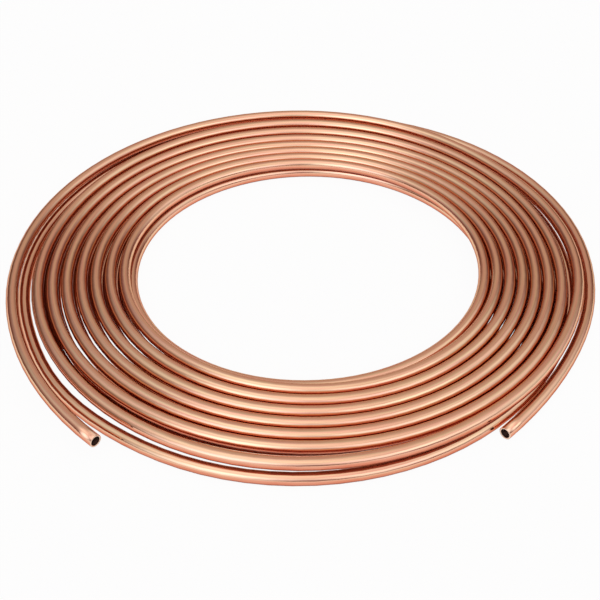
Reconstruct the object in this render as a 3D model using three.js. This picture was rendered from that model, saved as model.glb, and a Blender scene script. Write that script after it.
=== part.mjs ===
// Coil of soft copper tube: one length of round tube, cut square at both ends and
// wound as a flat double-layer coil.  It starts at the free end on the outside of the
// upper layer, winds inwards, steps down to the floor at the eye and winds outwards
// again underneath, to the second free end.
//
// Millimetres, +Z up.  The origin is on the floor, at the middle of the coil.

import * as THREE from 'three';

// ------------------------------------------------------------------ driving dimensions

// the tube
const TUBE_OUTSIDE_DIAMETER = 6.35;
const TUBE_WALL = 0.762;

// the winding
const EYE_RADIUS = 92.7;            // clear radius of the eye, inside its innermost turn
const UPPER_TURN_GAP = 0.96;        // air between neighbouring turns of the upper layer
const LOWER_TURN_GAP = 1.6;         // and of the lower one
const LAYER_GAP = 0.25;             // air between the two layers
const UPPER_TURNS = 7.858;          // turns from the upper free end to the step down
const LOWER_TURNS = 7.945;          // turns from the step down to the lower free end

// the step down at the eye
const STEP_DOWN_BEARING = 287;      // degrees, middle of the step
const STEP_DOWN_SPAN = 252;         // degrees of coil over which the tube comes down
const TURN_BACK_SHARE = 0.09;       // softness of the turn from winding in to winding out, in turns

// how far each layer's middle creeps sideways and backwards with every turn
const UPPER_CREEP_X = -0.42;
const UPPER_CREEP_Y = 0.02;
const LOWER_CREEP_X = -0.63;
const LOWER_CREEP_Y = 0.82;

// The outer turns have sprung loose of the winding.  Places on them are given in degrees
// of coil, counted back from the layer's cut end, and spans in degrees to either side.
const UPPER_SLACK = 5.5;            // how far out the first of the upper layer stands
const UPPER_SLACK_FROM = 62;        // from here it comes back in to the winding
const UPPER_SLACK_TO = 140;         // and here it lies in it again
const UPPER_SIDE = 3.3;             // how far the first turn stands out at the far side
const UPPER_SIDE_AT = 228;
const UPPER_SIDE_SPAN = 39;
const UPPER_PRESS = 0.4;            // how far in it is pressed after that
const UPPER_PRESS_AT = 265;
const UPPER_PRESS_SPAN = 73;
const UPPER_BULGE = 2.5;            // how far the next turn stands out at the front
const UPPER_BULGE_AT = 334;
const UPPER_BULGE_SPAN = 53;
const BACK_SPREAD = 12.1;           // how far the upper turns spread at the back of the coil
const BACK_SPREAD_TURNS = 4.4;      // number of turns over which the spread dies away
const LOWER_OVAL = 1.8;             // how far the lower layer is drawn out into an oval
const LOWER_OVAL_BEARING = 65;      // degrees, its long axis
const LOWER_OVAL_TURNS = 7.9;       // number of turns over which the oval dies away
const LOWER_TIGHT = 0.6;            // how much tighter than regular its outer turns lie
const LOWER_LEAN = 1.1;             // how far all lower turns lean out on one side
const LOWER_LEAN_BEARING = 222;     // degrees, the middle of that side
const LOWER_LEAN_SPAN = 20;
const LOWER_BULGE = 8.2;            // first bulge of the lower layer
const LOWER_BULGE_AT = 93;
const LOWER_BULGE_SPAN = 98;
const LOWER_SWELL = 5.5;            // its second, longer bulge
const LOWER_SWELL_AT = 329;
const LOWER_SWELL_SPAN = 76;
const LOWER_PRESS = 1.4;            // how far in its second turn is pressed
const LOWER_PRESS_AT = 625;
const LOWER_PRESS_SPAN = 73;

// the free ends, which spring away from the coil
const UPPER_END_SPRING = 6.1;       // how far outwards the upper cut end stands
const UPPER_END_SPAN = 43;          // degrees of coil that spring
const LOWER_END_SPRING = 4.9;
const LOWER_END_SPAN = 30;

// facets
const SECTION_SIDES = 8;
const BORE_SIDES = 6;
const STATIONS_PER_TURN = 24;
const LEAST_STEP_SHARE = 0.25;      // shortest step between stations, as a share of a full one
const TANGENT_STEP = 1e-4;          // turns to either side over which the axis' direction is taken
const SEARCH_STEPS_PER_TURN = 360;  // how finely the coil is searched for where it is widest

// ------------------------------------------------------------------- derived dimensions

const tubeRadius = TUBE_OUTSIDE_DIAMETER / 2;
const boreRadius = tubeRadius - TUBE_WALL;
const upperPitch = TUBE_OUTSIDE_DIAMETER + UPPER_TURN_GAP;
const lowerPitch = TUBE_OUTSIDE_DIAMETER + LOWER_TURN_GAP;
const lowerAxisHeight = tubeRadius;
const upperAxisHeight = lowerAxisHeight + TUBE_OUTSIDE_DIAMETER + LAYER_GAP;
const innermostAxisRadius = EYE_RADIUS + tubeRadius;

const FULL_TURN = 360;
const { degToRad, radToDeg, euclideanModulo, smoothstep, lerp } = THREE.MathUtils;

// ------------------------------------------------------------------------ the tube's axis

// A smooth bulge: rise at its middle, nothing beyond its span to either side.
function bulge(place, middle, span, rise) {
  const share = Math.min(1, Math.abs(place - middle) / span);
  return (rise / 2) * (1 + Math.cos(Math.PI * share));
}

// How far a free end has sprung out, at a number of degrees from the cut.
function endSpring(fromEnd, spring, span) {
  return spring * Math.max(0, 1 - fromEnd / span) ** 2;
}

// How far out of the regular winding the upper layer stands.
function upperLooseness(fromEnd, bearing) {
  const fade = Math.max(0, 1 - fromEnd / (BACK_SPREAD_TURNS * FULL_TURN)) ** 2;
  return UPPER_SLACK * (1 - smoothstep(fromEnd, UPPER_SLACK_FROM, UPPER_SLACK_TO))
    + bulge(fromEnd, UPPER_SIDE_AT, UPPER_SIDE_SPAN, UPPER_SIDE)
    - bulge(fromEnd, UPPER_PRESS_AT, UPPER_PRESS_SPAN, UPPER_PRESS)
    + bulge(fromEnd, UPPER_BULGE_AT, UPPER_BULGE_SPAN, UPPER_BULGE)
    + BACK_SPREAD * fade * Math.max(0, Math.sin(bearing)) ** 2
    + endSpring(fromEnd, UPPER_END_SPRING, UPPER_END_SPAN);
}

// The same for the lower layer, whose innermost turn takes up the lean gradually.
function lowerLooseness(fromEnd, bearing, turnsFromEye) {
  const fade = Math.max(0, 1 - fromEnd / (LOWER_OVAL_TURNS * FULL_TURN)) ** 2;
  const oval = LOWER_OVAL * Math.cos(2 * (bearing - degToRad(LOWER_OVAL_BEARING)));
  const aside = euclideanModulo(
    radToDeg(bearing) - LOWER_LEAN_BEARING + FULL_TURN / 2, FULL_TURN) - FULL_TURN / 2;
  return fade * (oval - LOWER_TIGHT)
    + Math.min(1, turnsFromEye) * bulge(aside, 0, LOWER_LEAN_SPAN, LOWER_LEAN)
    + bulge(fromEnd, LOWER_BULGE_AT, LOWER_BULGE_SPAN, LOWER_BULGE)
    + bulge(fromEnd, LOWER_SWELL_AT, LOWER_SWELL_SPAN, LOWER_SWELL)
    - bulge(fromEnd, LOWER_PRESS_AT, LOWER_PRESS_SPAN, LOWER_PRESS)
    + endSpring(fromEnd, LOWER_END_SPRING, LOWER_END_SPAN);
}

// The axis at a number of turns from the step down: negative in the upper layer, which
// is wound inwards, and positive in the lower layer, which is wound outwards again.
function axisPoint(turns) {
  const isUpper = turns < 0;
  const bearing = degToRad(STEP_DOWN_BEARING - turns * FULL_TURN);
  const turnsFromEye = Math.hypot(turns, TURN_BACK_SHARE) - TURN_BACK_SHARE;
  const fromEnd = ((isUpper ? UPPER_TURNS : LOWER_TURNS) - Math.abs(turns)) * FULL_TURN;
  const radius = innermostAxisRadius + (isUpper ? upperPitch : lowerPitch) * turnsFromEye
    + (isUpper ? upperLooseness(fromEnd, bearing) : lowerLooseness(fromEnd, bearing, turnsFromEye));
  const creepX = (isUpper ? UPPER_CREEP_X : LOWER_CREEP_X) * turnsFromEye;
  const creepY = (isUpper ? UPPER_CREEP_Y : LOWER_CREEP_Y) * turnsFromEye;
  const halfStep = STEP_DOWN_SPAN / FULL_TURN / 2;
  const height = lerp(upperAxisHeight, lowerAxisHeight, smoothstep(turns, -halfStep, halfStep));
  return new THREE.Vector3(
    radius * Math.cos(bearing) + creepX, radius * Math.sin(bearing) + creepY, height);
}

// The turns at which the coil reaches furthest in a direction across the floor.
function furthestTurns(direction) {
  const steps = Math.floor((UPPER_TURNS + LOWER_TURNS) * SEARCH_STEPS_PER_TURN);
  const places = Array.from(
    { length: steps }, (_, step) => -UPPER_TURNS + step / SEARCH_STEPS_PER_TURN);
  const reach = (turns) => axisPoint(turns).dot(direction);
  return places.reduce((best, turns) => (reach(turns) > reach(best) ? turns : best));
}

// Stations along the axis, on the same bearings in every turn, so that the flats of
// neighbouring turns lie side by side and the air between them stays even.  Where the
// coil is widest and deepest a further station keeps its overall size.
function stationTurns() {
  const first = Math.ceil(-UPPER_TURNS * STATIONS_PER_TURN);
  const last = Math.floor(LOWER_TURNS * STATIONS_PER_TURN);
  const regular = Array.from(
    { length: last - first + 1 }, (_, index) => (first + index) / STATIONS_PER_TURN);
  const kept = [-UPPER_TURNS, LOWER_TURNS,
    ...[[1, 0], [-1, 0], [0, 1], [0, -1]].map(([x, y]) => furthestTurns(new THREE.Vector3(x, y, 0)))];
  const leastStep = LEAST_STEP_SHARE / STATIONS_PER_TURN;
  const apart = (turns) => kept.every((other) => Math.abs(turns - other) > leastStep);
  return [...kept, ...regular.filter(apart)].sort((a, b) => a - b);
}

// ------------------------------------------------------------------------ the tube's wall

// A polygon with a flat underneath and one on top, whose flats, not its corners, lie at
// the given radius.
function flatSidedRing(radius, sides) {
  const cornerRadius = radius / Math.cos(Math.PI / sides);
  return Array.from({ length: sides }, (_, side) => {
    const angle = ((side + 0.5) / sides) * 2 * Math.PI + Math.PI / 2;
    return new THREE.Vector2(cornerRadius * Math.cos(angle), cornerRadius * Math.sin(angle));
  });
}

// The same polygon set square across the tube at a station.
function sectionRing(turns, radius, sides) {
  const centre = axisPoint(turns);
  const along = axisPoint(turns + TANGENT_STEP).sub(axisPoint(turns - TANGENT_STEP)).normalize();
  const outwards = new THREE.Vector3(0, 0, 1).cross(along).normalize();
  const upwards = along.clone().cross(outwards);
  return flatSidedRing(radius, sides).map((corner) => centre.clone()
    .addScaledVector(outwards, corner.x)
    .addScaledVector(upwards, corner.y));
}

// The closed wall of the tube: its outside, its bore and the two square-cut ends.
function tubeWall() {
  const stations = stationTurns();
  const positions = [];
  const faces = [];

  const addRings = (radius, sides) => stations.map((turns) => {
    const start = positions.length / 3;
    sectionRing(turns, radius, sides).forEach((point) => positions.push(...point));
    return start;
  });
  const outside = addRings(tubeRadius, SECTION_SIDES);
  const bore = addRings(boreRadius, BORE_SIDES);

  const addSkin = (starts, sides, facesOut) => {
    for (let station = 0; station + 1 < starts.length; station += 1) {
      for (let side = 0; side < sides; side += 1) {
        const next = (side + 1) % sides;
        const a = starts[station] + side;
        const b = starts[station] + next;
        const c = starts[station + 1] + next;
        const d = starts[station + 1] + side;
        if (facesOut) faces.push(a, b, c, a, c, d);
        else faces.push(a, c, b, a, d, c);
      }
    }
  };
  addSkin(outside, SECTION_SIDES, true);
  addSkin(bore, BORE_SIDES, false);

  const rim = THREE.ShapeUtils.triangulateShape(
    flatSidedRing(tubeRadius, SECTION_SIDES), [flatSidedRing(boreRadius, BORE_SIDES)]);
  const addCutEnd = (station, facesBack) => {
    const corner = (index) => (index < SECTION_SIDES
      ? outside[station] + index : bore[station] + index - SECTION_SIDES);
    rim.forEach(([a, b, c]) => {
      if (facesBack) faces.push(corner(a), corner(c), corner(b));
      else faces.push(corner(a), corner(b), corner(c));
    });
  };
  addCutEnd(0, true);
  addCutEnd(stations.length - 1, false);

  const geometry = new THREE.BufferGeometry();
  geometry.setAttribute('position', new THREE.Float32BufferAttribute(positions, 3));
  geometry.setIndex(faces);
  geometry.computeVertexNormals();
  return geometry;
}

// ------------------------------------------------------------------------------ the coil

const copper = new THREE.MeshStandardMaterial({ color: 0xd69a78, roughness: 0.28, metalness: 1 });

const tube = new THREE.Mesh(tubeWall(), copper);
tube.name = 'copper_tube';

// The sprung ends make the footprint lopsided, so the tube is moved to centre it.
tube.geometry.computeBoundingBox();
const footprintCentre = tube.geometry.boundingBox.getCenter(new THREE.Vector3());
tube.position.set(-footprintCentre.x, -footprintCentre.y, 0);

const coil = new THREE.Group();
coil.add(tube);

export default coil;
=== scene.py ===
"""A coil of soft copper tube, wound flat in two layers, for the Object Factory library."""

from __future__ import annotations

import logging
import math
from dataclasses import dataclass
from enum import Enum

import bmesh
import bpy
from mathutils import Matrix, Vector


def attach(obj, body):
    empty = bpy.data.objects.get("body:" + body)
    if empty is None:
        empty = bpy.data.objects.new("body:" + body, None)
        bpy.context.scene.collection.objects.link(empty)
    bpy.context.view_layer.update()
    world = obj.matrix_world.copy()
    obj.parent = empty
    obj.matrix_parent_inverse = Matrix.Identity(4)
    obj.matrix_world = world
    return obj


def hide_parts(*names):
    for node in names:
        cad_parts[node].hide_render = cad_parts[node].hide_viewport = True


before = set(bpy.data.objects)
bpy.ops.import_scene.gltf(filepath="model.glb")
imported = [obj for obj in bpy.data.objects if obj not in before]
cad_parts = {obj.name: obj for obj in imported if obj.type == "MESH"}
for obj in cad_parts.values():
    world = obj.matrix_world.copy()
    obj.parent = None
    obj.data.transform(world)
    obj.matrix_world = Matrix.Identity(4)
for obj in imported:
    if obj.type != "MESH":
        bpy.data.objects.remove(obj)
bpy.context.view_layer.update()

LOG = logging.getLogger("copper_tube_coil")
MM = 0.001
DIAMETER = 6.35


# ------------------------------------------------------------------------------ the path


def smooth(value: float, low: float, high: float) -> float:
    """Smooth step from 0 at low to 1 at high."""
    share = min(1.0, max(0.0, (value - low) / (high - low)))
    return share * share * (3 - 2 * share)


@dataclass(frozen=True)
class Bulge:
    """A stretch that stands out or is pressed in, placed by an angle, in degrees."""

    place: float
    span: float
    rise: float

    def at(self, angle: float) -> float:
        """How far out the stretch stands at an angle."""
        share = min(1.0, abs(angle - self.place) / self.span)
        return self.rise / 2 * (1 + math.cos(math.pi * share))


@dataclass(frozen=True)
class EndSpring:
    """A free end that springs away from the coil."""

    reach: float
    span: float

    def at(self, from_end: float) -> float:
        """How far out the tube stands at a number of degrees from the cut end."""
        return self.reach * max(0.0, 1 - from_end / self.span) ** 2


@dataclass(frozen=True)
class Layer:
    """One of the two layers of the winding, in millimetres and degrees."""

    turns: float
    pitch: float
    axis_height: float
    creep: tuple[float, float]
    spring: EndSpring
    bulges: tuple[Bulge, ...]
    fade_turns: float

    def looseness(self, from_end: float, bearing: float, from_eye: float) -> float:
        """How far out of the regular winding the layer stands.

        Args:
            from_end: degrees of coil from the cut end.
            bearing: the bearing round the coil, in radians.
            from_eye: turns of the spiral outwards from the eye.

        Returns:
            The distance, in millimetres.
        """
        raise NotImplementedError

    def from_end(self, turns: float) -> float:
        """Degrees of coil from the layer's cut end, at a number of turns from the step down."""
        return (self.turns - abs(turns)) * 360

    def fade(self, from_end: float) -> float:
        """1 at the cut end, dying away to 0 over the layer's outer turns."""
        return max(0.0, 1 - from_end / (self.fade_turns * 360)) ** 2

    def sprung(self, from_end: float) -> float:
        """How far the free end and the bulges stand out."""
        return self.spring.at(from_end) + sum(bulge.at(from_end) for bulge in self.bulges)


@dataclass(frozen=True)
class UpperLayer(Layer):
    """The upper layer, whose first turn is slack and whose turns spread at the back."""

    slack: float
    slack_from: float
    slack_to: float
    back_spread: float

    def looseness(self, from_end: float, bearing: float, from_eye: float) -> float:
        """How far out the layer stands: its slack first turn, its spread back and its springs.

        Args:
            from_end: degrees of coil from the cut end.
            bearing: the bearing round the coil, in radians.
            from_eye: turns of the spiral outwards from the eye; not used here.

        Returns:
            The distance, in millimetres.
        """
        back = self.back_spread * self.fade(from_end) * max(0.0, math.sin(bearing)) ** 2
        slack = self.slack * (1 - smooth(from_end, self.slack_from, self.slack_to))
        return slack + back + self.sprung(from_end)


@dataclass(frozen=True)
class LowerLayer(Layer):
    """The lower layer, which is drawn out into an oval and leans out on one side."""

    oval: float
    oval_bearing: float
    tight: float
    lean: Bulge

    def looseness(self, from_end: float, bearing: float, from_eye: float) -> float:
        """How far out the layer stands: its oval, its lean to one side and its springs.

        Args:
            from_end: degrees of coil from the cut end.
            bearing: the bearing round the coil, in radians.
            from_eye: turns of the spiral outwards from the eye.

        Returns:
            The distance, in millimetres.
        """
        oval = self.oval * math.cos(2 * (bearing - math.radians(self.oval_bearing)))
        aside = (math.degrees(bearing) - self.lean.place + 180) % 360 - 180
        lean = min(1.0, from_eye) * self.lean.at(self.lean.place + aside)
        return self.fade(from_end) * (oval - self.tight) + lean + self.sprung(from_end)


@dataclass(frozen=True)
class CoilPath:
    """The axis of the tube: in through the upper layer, and out through the lower one."""

    upper: UpperLayer
    lower: LowerLayer
    innermost_radius: float
    step_bearing: float
    step_span: float
    turn_back: float
    small_turn: float = 1e-4

    def layer(self, turns: float) -> Layer:
        """The layer at a number of turns from the step down, negative in the upper one."""
        return self.upper if turns < 0 else self.lower

    def point(self, turns: float) -> Vector:
        """The axis at a number of turns from the step down, about the middle of the winding.

        Args:
            turns: turns from the step down, negative in the upper layer.

        Returns:
            The point, in metres.
        """
        layer = self.layer(turns)
        bearing = math.radians(self.step_bearing - turns * 360)
        from_eye = math.hypot(turns, self.turn_back) - self.turn_back
        radius = self.innermost_radius + layer.pitch * from_eye
        radius += layer.looseness(layer.from_end(turns), bearing, from_eye)
        half_step = self.step_span / 360 / 2
        down = smooth(turns, -half_step, half_step)
        height = self.upper.axis_height + (self.lower.axis_height - self.upper.axis_height) * down
        return MM * Vector((
            radius * math.cos(bearing) + layer.creep[0] * from_eye,
            radius * math.sin(bearing) + layer.creep[1] * from_eye,
            height,
        ))

    def frame_at(self, turns: float) -> tuple[Vector, Vector, Vector]:
        """The axis, and the directions outwards and upwards across the tube.

        Args:
            turns: turns from the step down, negative in the upper layer.

        Returns:
            The axis point, the outwards direction and the upwards direction.
        """
        ahead, behind = self.point(turns + self.small_turn), self.point(turns - self.small_turn)
        along = (ahead - behind).normalized()
        outwards = Vector((0, 0, 1)).cross(along).normalized()
        return self.point(turns), outwards, along.cross(outwards).normalized()


def wound_path() -> CoilPath:
    """The winding of this coil.

    Returns:
        The path, with lengths in millimetres and angles in degrees.
    """
    upper = UpperLayer(
        turns=7.858, pitch=DIAMETER + 0.96,
        axis_height=1.5 * DIAMETER + 0.25, creep=(-0.42, 0.02),
        spring=EndSpring(reach=6.1, span=43),
        bulges=(
            Bulge(place=228, span=39, rise=3.3),
            Bulge(place=265, span=73, rise=-0.4),
            Bulge(place=334, span=53, rise=2.5),
        ),
        slack=5.5, slack_from=62, slack_to=140,
        back_spread=12.1, fade_turns=4.4,
    )
    lower = LowerLayer(
        turns=7.945, pitch=DIAMETER + 1.6,
        axis_height=0.5 * DIAMETER, creep=(-0.63, 0.82),
        spring=EndSpring(reach=4.9, span=30),
        bulges=(
            Bulge(place=93, span=98, rise=8.2),
            Bulge(place=329, span=76, rise=5.5),
            Bulge(place=625, span=73, rise=-1.4),
        ),
        oval=1.8, oval_bearing=65, tight=0.6, fade_turns=7.9,
        lean=Bulge(place=222, span=20, rise=1.1),
    )
    return CoilPath(
        upper=upper, lower=lower, innermost_radius=92.7 + 0.5 * DIAMETER,
        step_bearing=287, step_span=252, turn_back=0.09,
    )


# -------------------------------------------------------------------------- the finishes


class Surface(Enum):
    """The surfaces of the tube, by the place of their finish among its materials."""

    OUTSIDE = 0
    BORE = 1
    CUT = 2


class Tree:
    """A small helper round a node tree."""

    def __init__(self, tree: bpy.types.NodeTree) -> None:
        """Keeps the tree."""
        self.tree = tree

    def add(
        self, kind: str, inputs: dict[object, object] | None = None, **settings: object
    ) -> bpy.types.Node:
        """Adds a node.

        Args:
            kind: the node's type.
            inputs: values for its sockets, by name or number.
            settings: its own settings.

        Returns:
            The node.
        """
        made = self.tree.nodes.new(kind)
        for name, value in settings.items():
            setattr(made, name, value)
        for name, value in (inputs or {}).items():
            made.inputs[name].default_value = value
        return made

    def join(self, source: bpy.types.NodeSocket, target: bpy.types.NodeSocket) -> None:
        """Links two sockets."""
        self.tree.links.new(source, target)

    def math(self, operation: str, first: object, second: object = None) -> bpy.types.NodeSocket:
        """Adds a Math node.

        Args:
            operation: its operation.
            first: a socket or a number.
            second: a socket or a number.

        Returns:
            Its result.
        """
        made = self.tree.nodes.new("ShaderNodeMath")
        made.operation = operation
        for socket, value in zip(made.inputs, (first, second)):
            if isinstance(value, bpy.types.NodeSocket):
                self.join(value, socket)
            elif value is not None:
                socket.default_value = value
        return made.outputs[0]

    def remap(
        self,
        value: bpy.types.NodeSocket,
        start: tuple[float, float],
        end: tuple[float, float] = (0.0, 1.0),
    ) -> bpy.types.NodeSocket:
        """Maps a value smoothly from one range to another.

        Args:
            value: the value.
            start: the range that it comes in.
            end: the range that it goes out in.

        Returns:
            The mapped value.
        """
        made = self.tree.nodes.new("ShaderNodeMapRange")
        made.interpolation_type = "SMOOTHSTEP"
        for name, number in zip(("From Min", "From Max", "To Min", "To Max"), (*start, *end)):
            made.inputs[name].default_value = number
        self.join(value, made.inputs["Value"])
        return made.outputs["Result"]

    def blend(self, share: bpy.types.NodeSocket, first: object, second: object) -> bpy.types.NodeSocket:
        """Blends two colours.

        Args:
            share: how much of the second shows.
            first: a colour or a socket.
            second: a colour or a socket.

        Returns:
            The blended colour.
        """
        made = self.tree.nodes.new("ShaderNodeMix")
        made.data_type = "RGBA"
        self.join(share, made.inputs[0])
        for socket, value in ((made.inputs[6], first), (made.inputs[7], second)):
            if isinstance(value, bpy.types.NodeSocket):
                self.join(value, socket)
            else:
                socket.default_value = (*value, 1)
        return made.outputs[2]


class Finish:
    """A new material, with its nodes and its Principled shader at hand."""

    def __init__(self, name: str) -> None:
        """Makes the material.

        Args:
            name: the material's name.
        """
        self.material = bpy.data.materials.new(name)
        self.material.use_nodes = True
        self.tree = Tree(self.material.node_tree)
        self.shader = self.material.node_tree.nodes["Principled BSDF"]

    def set(self, name: str, value: object) -> None:
        """Sets one of the shader's sockets.

        Args:
            name: the socket's name.
            value: a number, a colour, or a socket that gives it.
        """
        if isinstance(value, bpy.types.NodeSocket):
            self.tree.join(value, self.shader.inputs[name])
        elif isinstance(value, tuple):
            self.shader.inputs[name].default_value = (*value, 1)
        else:
            self.shader.inputs[name].default_value = value

    def bump(self, height: bpy.types.NodeSocket, strength: float, depth: float) -> None:
        """Roughens the surface.

        Args:
            height: the height of the relief, from 0 to 1.
            strength: how much of it shows.
            depth: its depth, in metres.
        """
        bump = self.tree.add("ShaderNodeBump", {"Strength": strength, "Distance": depth})
        self.tree.join(height, bump.inputs["Height"])
        self.tree.join(bump.outputs["Normal"], self.shader.inputs["Normal"])


@dataclass(frozen=True)
class Patches:
    """The size and sharpness of uneven patches."""

    scale: float
    detail: float
    roughness: float


class Mottling:
    """Soft uneven patches, as one shader node group that every finish places."""

    NAME = "mottling"
    SHARE_FROM = (0.35, 0.65)
    USUAL_HEIGHTS = (0.3, 0.7)

    @classmethod
    def group(cls) -> bpy.types.NodeTree:
        """The group, built the first time that it is wanted."""
        made = bpy.data.node_groups.get(cls.NAME)
        return made if made is not None else cls.build()

    @classmethod
    def build(cls) -> bpy.types.NodeTree:
        """Builds the group.

        Returns:
            The group, with a share from 0 to 1 and the bare height as its outputs.
        """
        made = bpy.data.node_groups.new(cls.NAME, "ShaderNodeTree")
        sockets = (
            ("Vector", "INPUT", "NodeSocketVector"), ("Scale", "INPUT", "NodeSocketFloat"),
            ("Detail", "INPUT", "NodeSocketFloat"), ("Roughness", "INPUT", "NodeSocketFloat"),
            ("Share", "OUTPUT", "NodeSocketFloat"), ("Height", "OUTPUT", "NodeSocketFloat"),
        )
        for name, side, kind in sockets:
            made.interface.new_socket(name=name, in_out=side, socket_type=kind)
        tree = Tree(made)
        given = tree.add("NodeGroupInput")
        taken = tree.add("NodeGroupOutput")
        noise = tree.add("ShaderNodeTexNoise")
        for name in ("Vector", "Scale", "Detail", "Roughness"):
            tree.join(given.outputs[name], noise.inputs[name])
        share = tree.remap(noise.outputs["Fac"], cls.SHARE_FROM)
        tree.join(share, taken.inputs["Share"])
        tree.join(noise.outputs["Fac"], taken.inputs["Height"])
        return made

    @classmethod
    def place(cls, tree: Tree, vector: bpy.types.NodeSocket, patches: Patches) -> bpy.types.Node:
        """Places the group in a material.

        Args:
            tree: the material's nodes.
            vector: where the patches are looked up.
            patches: their size and sharpness.

        Returns:
            The group's node.
        """
        made = tree.add("ShaderNodeGroup", node_tree=cls.group())
        tree.join(vector, made.inputs["Vector"])
        made.inputs["Scale"].default_value = patches.scale
        made.inputs["Detail"].default_value = patches.detail
        made.inputs["Roughness"].default_value = patches.roughness
        return made


@dataclass(frozen=True)
class DrawnCopper:
    """Bright drawn copper with faint draw lines and soft mottling, and painted shade on its sides and
    underneath.

    Down the sides the copper is painted redder, as painted shade and as a painted reflection of the
    neighbouring turns; underneath it is painted a darker, less metallic colour, as painted shade. Where
    each sets in is given by how far the surface faces down: -1 on top, 0 at the sides and 1 underneath.
    """

    golden: tuple[float, float, float] = (0.94, 0.67, 0.43)
    rosy: tuple[float, float, float] = (0.94, 0.52, 0.38)
    # painted shade and painted reflection of the neighbouring turns, down the sides
    side_shade_colour: tuple[float, float, float] = (0.72, 0.20, 0.11)
    # painted shade under the tube
    underside_shade_colour: tuple[float, float, float] = (0.34, 0.08, 0.045)
    edge: tuple[float, float, float] = (0.55, 0.34, 0.28)
    roughness: float = 0.11
    # how strong the painted shade down the sides is, and where down the side it sets in
    painted_shade: float = 0.9
    side_shade_below: tuple[float, float] = (-0.6, 0.05)
    # how far the painted shade underneath turns the metal matt, and where it sets in
    underside_shade_matt: float = 0.85
    underside_shade_below: tuple[float, float] = (0.1, 0.6)
    stain_heights: tuple[float, float] = (0.2, 0.8)
    stain_depths: tuple[float, float] = (0.75, 1.0)
    drawn_roughness: tuple[float, float] = (-0.04, 0.04)
    stain_roughness: tuple[float, float] = (-0.05, 0.05)
    dullness: float = 0.4
    relief: float = 0.0002
    relief_strength: float = 0.35
    line_relief: float = 0.1
    tube_length: float = 12.47
    line_stretch: float = 6.0
    lines: Patches = Patches(scale=4.0, detail=5.0, roughness=0.65)
    stains: Patches = Patches(scale=45.0, detail=4.0, roughness=0.55)
    ripples: Patches = Patches(scale=90.0, detail=2.0, roughness=0.5)

    def round_the_tube(self, tree: Tree, unrolled: bpy.types.NodeSocket) -> bpy.types.NodeSocket:
        """Rolls the unrolled surface up again, as a place along the tube and round it.

        Args:
            tree: the material's nodes.
            unrolled: the place on the unrolled surface.

        Returns:
            The place: along the tube in X, and how far it faces down in Y and aside in Z.
        """
        parts = tree.add("ShaderNodeSeparateXYZ")
        tree.join(unrolled, parts.inputs[0])
        turn = tree.math("MULTIPLY", parts.outputs["Y"], 2 * math.pi)
        along = tree.math("MULTIPLY", parts.outputs["X"], self.tube_length)
        rolled = tree.add("ShaderNodeCombineXYZ")
        tree.join(tree.math("MULTIPLY", along, self.line_stretch), rolled.inputs["X"])
        tree.join(tree.math("COSINE", turn), rolled.inputs["Y"])
        tree.join(tree.math("SINE", turn), rolled.inputs["Z"])
        return rolled.outputs[0]

    def material(self, name: str) -> bpy.types.Material:
        """Makes the material.

        Args:
            name: the material's name.

        Returns:
            The copper material.
        """
        finish = Finish(name)
        tree = finish.tree
        finish.set("Specular Tint", self.edge)
        place = tree.add("ShaderNodeTexCoord")
        rolled = self.round_the_tube(tree, place.outputs["UV"])
        parts = tree.add("ShaderNodeSeparateXYZ")
        tree.join(rolled, parts.inputs[0])
        below = parts.outputs["Y"]
        lines = Mottling.place(tree, rolled, self.lines)
        stains = Mottling.place(tree, place.outputs["Object"], self.stains)
        ripples = Mottling.place(tree, place.outputs["Object"], self.ripples)

        colour = tree.blend(lines.outputs["Share"], self.golden, self.rosy)
        uneven = tree.remap(stains.outputs["Height"], self.stain_heights, self.stain_depths)
        # painted shade and painted reflection: the sides turn redder in patches, by how far the surface
        # faces down
        side_shade_patches = tree.math("MULTIPLY", uneven, self.painted_shade)
        sides = tree.math("MULTIPLY", tree.remap(below, self.side_shade_below), side_shade_patches)
        colour = tree.blend(sides, colour, self.side_shade_colour)
        # painted shade underneath: darker and less metallic, in patches, by how far the surface faces down
        underside_shade_mask = tree.math("MULTIPLY", tree.remap(below, self.underside_shade_below), uneven)
        finish.set("Base Color", tree.blend(underside_shade_mask, colour, self.underside_shade_colour))
        finish.set("Metallic", tree.math("SUBTRACT", 1.0, tree.math("MULTIPLY", underside_shade_mask, self.underside_shade_matt)))

        heights = Mottling.USUAL_HEIGHTS
        drawn = tree.remap(lines.outputs["Height"], heights, self.drawn_roughness)
        soft = tree.remap(stains.outputs["Height"], heights, self.stain_roughness)
        dull = tree.math("ADD", tree.math("MULTIPLY", underside_shade_mask, self.dullness), self.roughness)
        finish.set("Roughness", tree.math("ADD", tree.math("ADD", drawn, soft), dull))

        drawn_height = tree.math("MULTIPLY", lines.outputs["Height"], self.line_relief)
        height = tree.math("ADD", ripples.outputs["Height"], drawn_height)
        finish.bump(height, self.relief_strength, self.relief)
        return finish.material


@dataclass(frozen=True)
class CutCopper:
    """The cut face of the wall: bright, with the fine scratches of the cutter."""

    colour: tuple[float, float, float] = (0.95, 0.70, 0.54)
    shade: tuple[float, float, float] = (0.78, 0.48, 0.34)
    roughness: tuple[float, float] = (0.26, 0.44)
    relief: float = 0.00005
    relief_strength: float = 0.3
    scratches: Patches = Patches(scale=2500.0, detail=3.0, roughness=0.7)

    def material(self, name: str) -> bpy.types.Material:
        """Makes the material.

        Args:
            name: the material's name.

        Returns:
            The cut copper material.
        """
        finish = Finish(name)
        tree = finish.tree
        place = tree.add("ShaderNodeTexCoord")
        scratches = Mottling.place(tree, place.outputs["Object"], self.scratches)
        finish.set("Metallic", 1.0)
        finish.set("Base Color", tree.blend(scratches.outputs["Share"], self.colour, self.shade))
        rough = tree.remap(scratches.outputs["Height"], Mottling.USUAL_HEIGHTS, self.roughness)
        finish.set("Roughness", rough)
        finish.bump(scratches.outputs["Height"], self.relief_strength, self.relief)
        return finish.material


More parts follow.
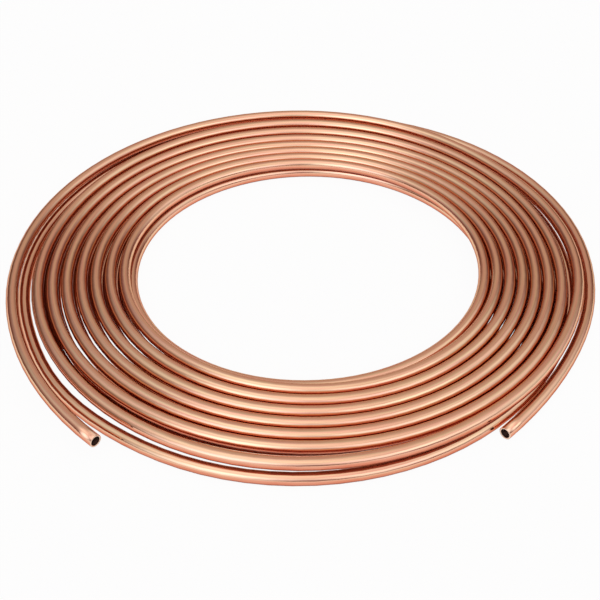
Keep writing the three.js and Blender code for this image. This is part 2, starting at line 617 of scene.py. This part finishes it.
@dataclass(frozen=True)
class BoreCopper:
    """The inside of the tube: dull, with painted shade: its copper is painted near black, darker still in
    patches.
    """

    # painted shade: the bore's copper is painted near black
    colour: tuple[float, float, float] = (0.06, 0.028, 0.02)
    # painted shade, darker still, for the patches
    painted_shade: tuple[float, float, float] = (0.02, 0.011, 0.009)
    roughness: tuple[float, float] = (0.4, 0.6)
    stains: Patches = Patches(scale=160.0, detail=4.0, roughness=0.5)

    def material(self, name: str) -> bpy.types.Material:
        """Makes the material.

        Args:
            name: the material's name.

        Returns:
            The bore's material.
        """
        finish = Finish(name)
        tree = finish.tree
        place = tree.add("ShaderNodeTexCoord")
        stains = Mottling.place(tree, place.outputs["Object"], self.stains)
        finish.set("Metallic", 1.0)
        # painted shade: near-black copper, darker still in patches
        finish.set("Base Color", tree.blend(stains.outputs["Share"], self.colour, self.painted_shade))
        rough = tree.remap(stains.outputs["Height"], Mottling.USUAL_HEIGHTS, self.roughness)
        finish.set("Roughness", rough)
        return finish.material


@dataclass(frozen=True)
class PaleFloor:
    """The matt floor, white where it is seen or mirrored, with a share left for shadows."""

    grey: tuple[float, float, float] = (0.86, 0.86, 0.86)
    white: float = 0.95

    def material(self, name: str) -> bpy.types.Material:
        """Makes the material.

        Args:
            name: the material's name.

        Returns:
            The floor's material.
        """
        finish = Finish(name)
        tree = finish.tree
        finish.set("Base Color", self.grey)
        finish.set("Roughness", 1.0)
        finish.set("Specular IOR Level", 0.0)
        path = tree.add("ShaderNodeLightPath")
        mirrored = tree.math("MAXIMUM", path.outputs["Is Glossy Ray"], path.outputs["Is Transmission Ray"])
        seen = tree.math("MAXIMUM", path.outputs["Is Camera Ray"], mirrored)
        white = tree.add("ShaderNodeEmission", {"Color": (1, 1, 1, 1), "Strength": 1.0})
        mixed = tree.add("ShaderNodeMixShader")
        tree.join(tree.math("MULTIPLY", seen, self.white), mixed.inputs[0])
        tree.join(finish.shader.outputs[0], mixed.inputs[1])
        tree.join(white.outputs[0], mixed.inputs[2])
        output = finish.material.node_tree.nodes["Material Output"]
        tree.join(mixed.outputs[0], output.inputs["Surface"])
        return finish.material


# ------------------------------------------------------------------------------ the coil


@dataclass(frozen=True)
class TubeCoil:
    """The coil: one length of round tube, swept along its path."""

    path: CoilPath
    outside_diameter: float = DIAMETER * MM
    wall: float = 0.762 * MM
    sides: int = 24
    stations_per_turn: int = 96
    search_steps_per_turn: int = 360
    seam_share: float = 1e-3

    def middle(self) -> Vector:
        """The middle of the footprint, from the middle of the winding.

        Returns:
            The middle of the box round the tube, on the floor.
        """
        start, count = -self.path.upper.turns, self.search_steps_per_turn
        steps = math.floor((self.path.lower.turns - start) * count)
        stations = [start + step / count for step in range(steps)]
        frames = [self.path.frame_at(turns) for turns in (*stations, self.path.lower.turns)]
        reach = self.outside_diameter / 2
        edges = [centre + side * reach * outwards for centre, outwards, _ in frames for side in (-1, 1)]
        return Vector([
            (min(edge[axis] for edge in edges) + max(edge[axis] for edge in edges)) / 2
            for axis in (0, 1)
        ] + [0])

    def skin(self) -> bmesh.types.BMesh:
        """The outside of the tube: a grid rolled up round the path.

        Returns:
            The open-ended skin, with its seam closed.
        """
        length_turns = self.path.upper.turns + self.path.lower.turns
        stations = round(length_turns * self.stations_per_turn)
        middle = self.middle()
        mesh = bmesh.new()
        mesh.loops.layers.uv.new("along_and_round")
        bmesh.ops.create_grid(
            mesh, x_segments=stations, y_segments=self.sides, size=1.0, calc_uvs=True)
        radius = self.outside_diameter / 2
        frames: dict[int, tuple[Vector, Vector, Vector]] = {}
        for vertex in mesh.verts:
            along = round((vertex.co.x + 1) / 2 * stations)
            round_tube = (vertex.co.y + 1) / 2
            if along not in frames:
                turns = along / stations * length_turns - self.path.upper.turns
                frames[along] = self.path.frame_at(turns)
            centre, outwards, upwards = frames[along]
            angle = (round_tube + 0.5 / self.sides) * 2 * math.pi - math.pi / 2
            vertex.co = centre - middle + radius * (
                outwards * math.cos(angle) + upwards * math.sin(angle))
        seam = self.outside_diameter * self.seam_share
        bmesh.ops.remove_doubles(mesh, verts=mesh.verts, dist=seam)
        bmesh.ops.recalc_face_normals(mesh, faces=mesh.faces)
        return mesh

    def build(self) -> bpy.types.Object:
        """Builds and dresses the tube.

        Returns:
            The finished object.
        """
        skin = self.skin()
        data = bpy.data.meshes.new("coil_tube")
        skin.to_mesh(data)
        skin.free()
        finishes = {
            Surface.OUTSIDE: DrawnCopper().material("drawn_copper"),
            Surface.BORE: BoreCopper().material("bore_copper_painted_shade"),
            Surface.CUT: CutCopper().material("cut_copper"),
        }
        for surface in Surface:
            data.materials.append(finishes[surface])
        tube = bpy.data.objects.new("coil_tube", data)
        bpy.context.collection.objects.link(tube)
        data.shade_smooth()
        wall = tube.modifiers.new("wall", "SOLIDIFY")
        wall.thickness = self.wall
        wall.offset = -1.0
        wall.use_rim = True
        wall.material_offset = Surface.BORE.value
        wall.material_offset_rim = Surface.CUT.value
        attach(tube, "root")
        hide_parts("copper_tube")
        LOG.info("tube: %d faces on its outside", len(data.polygons))
        return tube


# ---------------------------------------------------------------------------- the studio


@dataclass(frozen=True)
class SoftLight:
    """A large soft light of the studio, which fades out evenly to its sides."""

    bearing: float
    height: float
    edge: float
    colour: tuple[float, float, float]
    falloff: float = 1.5

    def towards(self) -> Vector:
        """The direction that it shines from; its bearing is 0 behind the coil and 90 at the right.

        Returns:
            The direction, of length 1.
        """
        bearing, height = math.radians(self.bearing), math.radians(self.height)
        level = math.cos(height)
        return Vector((level * math.sin(bearing), level * math.cos(bearing), math.sin(height)))


@dataclass(frozen=True)
class Studio:
    """The pale floor, the lights and the camera, placed about the middle of the winding."""

    middle: Vector
    unit: float = DIAMETER * MM
    camera_at: tuple[float, float, float] = (0.064, -70.104, 55.268)
    look_at: tuple[float, float, float] = (-0.674, -4.3, 0.5)
    focal_pixels: float = 1011.9
    image_pixels: int = 600
    sensor_width: float = 36
    floor_reach: float = 14.0
    backdrop_height: float = 1.2
    dim: tuple[float, float, float] = (0.18, 0.09, 0.08)
    lights: tuple[SoftLight, ...] = (
        SoftLight(bearing=-150, height=25, edge=0.8, colour=(1.22, 1.38, 1.56)),
        SoftLight(bearing=-150, height=55, edge=0.6, colour=(0.22, 0.26, 0.28)),
        SoftLight(bearing=-100, height=50, edge=0.7, colour=(0.22, 0.20, 0.18)),
        SoftLight(bearing=180, height=70, edge=0.7, colour=(0.76, 0.69, 0.65)),
        SoftLight(bearing=120, height=35, edge=0.92, colour=(0.75, 0.85, 0.82)),
        SoftLight(bearing=90, height=30, edge=0.7, colour=(0.54, 0.59, 0.62)),
        SoftLight(bearing=150, height=30, edge=0.88, colour=(1.00, 1.05, 1.15)),
        SoftLight(bearing=0, height=25, edge=0.8, colour=(0.33, 0.29, 0.25)),
        SoftLight(bearing=0, height=60, edge=0.8, colour=(0.16, 0.13, 0.11)),
        SoftLight(bearing=-60, height=60, edge=0.75, colour=(0.36, 0.44, 0.44)),
        SoftLight(bearing=60, height=55, edge=0.75, colour=(0.40, 0.42, 0.38)),
    )

    def place(self, point: tuple[float, float, float]) -> Vector:
        """A point of the studio, from tube diameters about the middle of the winding."""
        return Vector(point) * self.unit - self.middle

    def add_camera(self) -> None:
        """Adds the camera, level and without shift."""
        data = bpy.data.cameras.new("camera")
        data.sensor_width = self.sensor_width
        data.lens = self.focal_pixels / self.image_pixels * self.sensor_width
        camera = bpy.data.objects.new("camera", data)
        bpy.context.collection.objects.link(camera)
        camera.location = self.place(self.camera_at)
        towards = self.place(self.look_at) - camera.location
        camera.rotation_euler = towards.to_track_quat("-Z", "Y").to_euler()
        bpy.context.scene.camera = camera

    def add_floor(self) -> None:
        """Adds the pale floor.

        Its far edges turn up as a low backdrop, so that a level view shows no other ground.
        """
        mesh = bmesh.new()
        bmesh.ops.create_grid(mesh, x_segments=1, y_segments=1, size=self.floor_reach)
        turned_up = bmesh.ops.extrude_edge_only(mesh, edges=list(mesh.edges))["geom"]
        for vertex in turned_up:
            if isinstance(vertex, bmesh.types.BMVert):
                vertex.co.z += self.backdrop_height
        data = bpy.data.meshes.new("floor")
        mesh.to_mesh(data)
        mesh.free()
        floor = bpy.data.objects.new("floor", data)
        bpy.context.collection.objects.link(floor)
        data.materials.append(PaleFloor().material("floor_white"))

    @staticmethod
    def glow(tree: Tree, direction: bpy.types.NodeSocket, light: SoftLight) -> bpy.types.NodeSocket:
        """The colour of one soft light, seen in a direction.

        Args:
            tree: the world's nodes.
            direction: the direction.
            light: the light.

        Returns:
            Its colour, where 1 is white.
        """
        facing = tree.add("ShaderNodeVectorMath", {1: light.towards()}, operation="DOT_PRODUCT")
        tree.join(direction, facing.inputs[0])
        inside = tree.math("SUBTRACT", facing.outputs["Value"], light.edge)
        share = tree.math("DIVIDE", tree.math("MAXIMUM", inside, 0.0), 1 - light.edge)
        shown = tree.add("ShaderNodeVectorMath", {0: light.colour}, operation="SCALE")
        tree.join(tree.math("POWER", share, light.falloff), shown.inputs["Scale"])
        return shown.outputs[0]

    def add_world(self) -> None:
        """Adds the studio's light: a dim warm room with large soft lights round it."""
        world = bpy.data.worlds.new("studio")
        bpy.context.scene.world = world
        world.use_nodes = True
        tree = Tree(world.node_tree)
        direction = tree.add("ShaderNodeTexCoord").outputs["Generated"]
        total = tree.add("ShaderNodeVectorMath", {0: self.dim}, operation="ADD")
        for light in self.lights[:-1]:
            tree.join(self.glow(tree, direction, light), total.inputs[1])
            further = tree.add("ShaderNodeVectorMath", operation="ADD")
            tree.join(total.outputs[0], further.inputs[0])
            total = further
        tree.join(self.glow(tree, direction, self.lights[-1]), total.inputs[1])
        tree.join(total.outputs[0], world.node_tree.nodes["Background"].inputs["Color"])

    def build(self) -> None:
        """Sets the whole studio up."""
        self.add_camera()
        self.add_floor()
        self.add_world()
        bpy.context.scene.view_settings.view_transform = "Standard"


def main() -> None:
    """Builds the coil and its studio."""
    logging.basicConfig(level=logging.INFO, format="%(name)s: %(message)s")
    coil = TubeCoil(wound_path())
    tube = coil.build()
    LOG.info("built %s", tube.name)
    Studio(coil.middle()).build()


if __name__ == "__main__":
    main()
